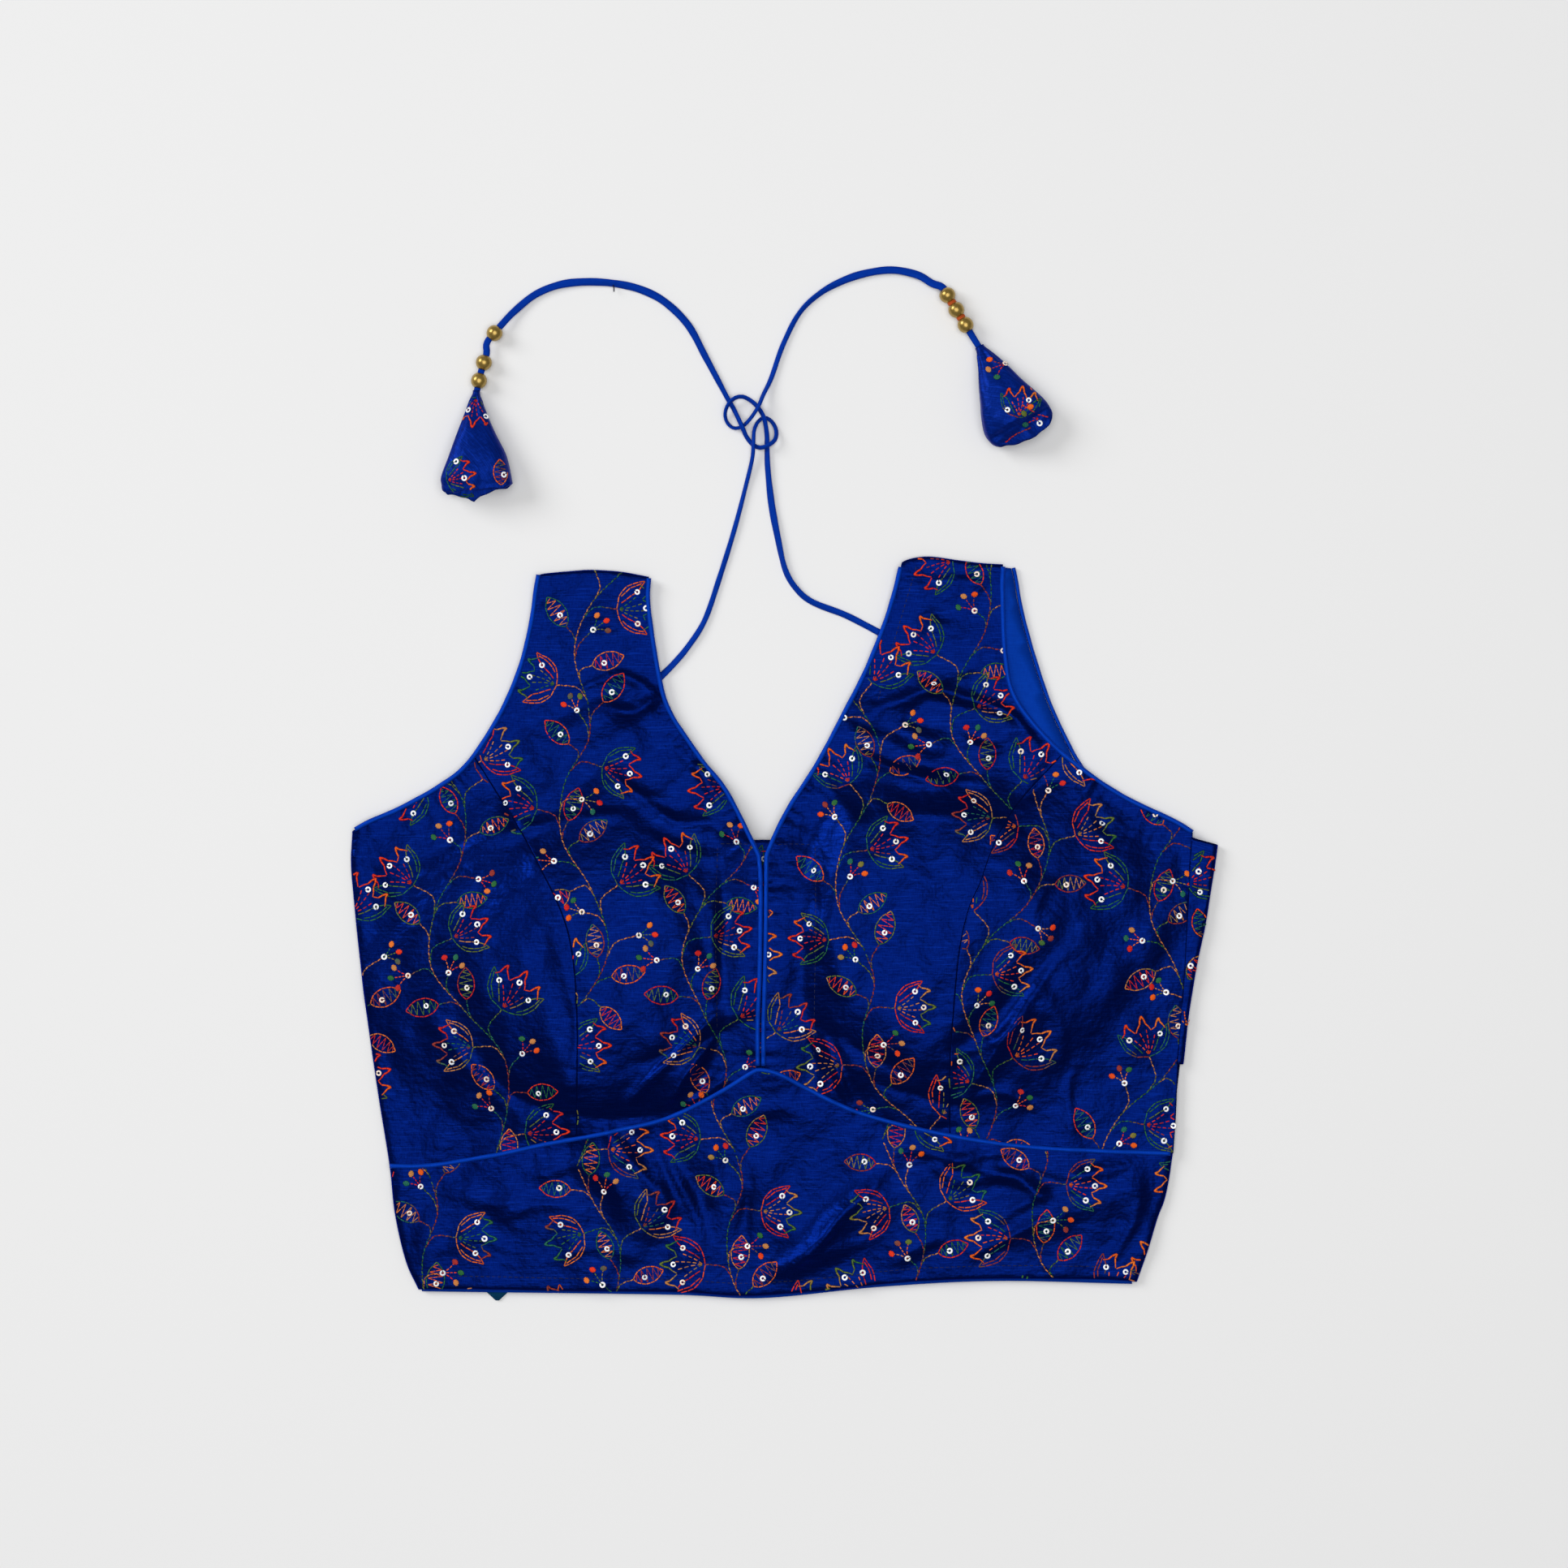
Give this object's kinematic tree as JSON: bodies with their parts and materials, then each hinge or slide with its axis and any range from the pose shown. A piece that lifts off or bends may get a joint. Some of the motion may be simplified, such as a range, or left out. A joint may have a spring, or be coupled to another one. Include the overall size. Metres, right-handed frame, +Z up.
{
  "type": "choli blouse",
  "caption": "Sleeveless choli blouse of embroidered blue silk, laid flat, front up: padded cups, V neck, mock placket, piped seams, and knotted tie cords with gold beads and cloth tassels",
  "frame": {"origin": "on the floor, under the middle of the blouse's outline without its tie cords", "axes": "+X across the front to the viewer's right, +Y from the hem up to the shoulders, +Z up out of the front"},
  "size_m": [0.4477, 0.534, 0.0232],
  "materials": {
    "silk": "slubbed silk with a strong sheen",
    "lining": "plain woven, satin",
    "piping": "satin bias",
    "cord": "satin bias, stitched into a flat tube",
    "tape": "matt woven",
    "bead": "pearly gold lacquer"
  },
  "bodies": {
    "root": {"front_side_left": "silk", "front_centre_left": "silk", "front_centre_right": "silk", "front_side_right": "silk", "front_band": "silk", "placket_underlap": "silk", "back_panel": "silk", "back_lining": "lining", "piping_neck_left": "piping", "piping_neck_right": "piping", "piping_armhole_left": "piping", "piping_armhole_right": "piping", "piping_waist": "piping", "piping_back_armhole_right": "piping", "hem_tape": "tape", "tie_cord_left": "cord", "tie_cord_right": "cord", "tassel_left": "silk", "tassel_right": "silk", "bead_left_1": "bead", "bead_left_2": "bead", "bead_left_3": "bead", "bead_right_1": "bead", "bead_right_2": "bead", "bead_right_3": "bead"}
  },
  "joints": []
}
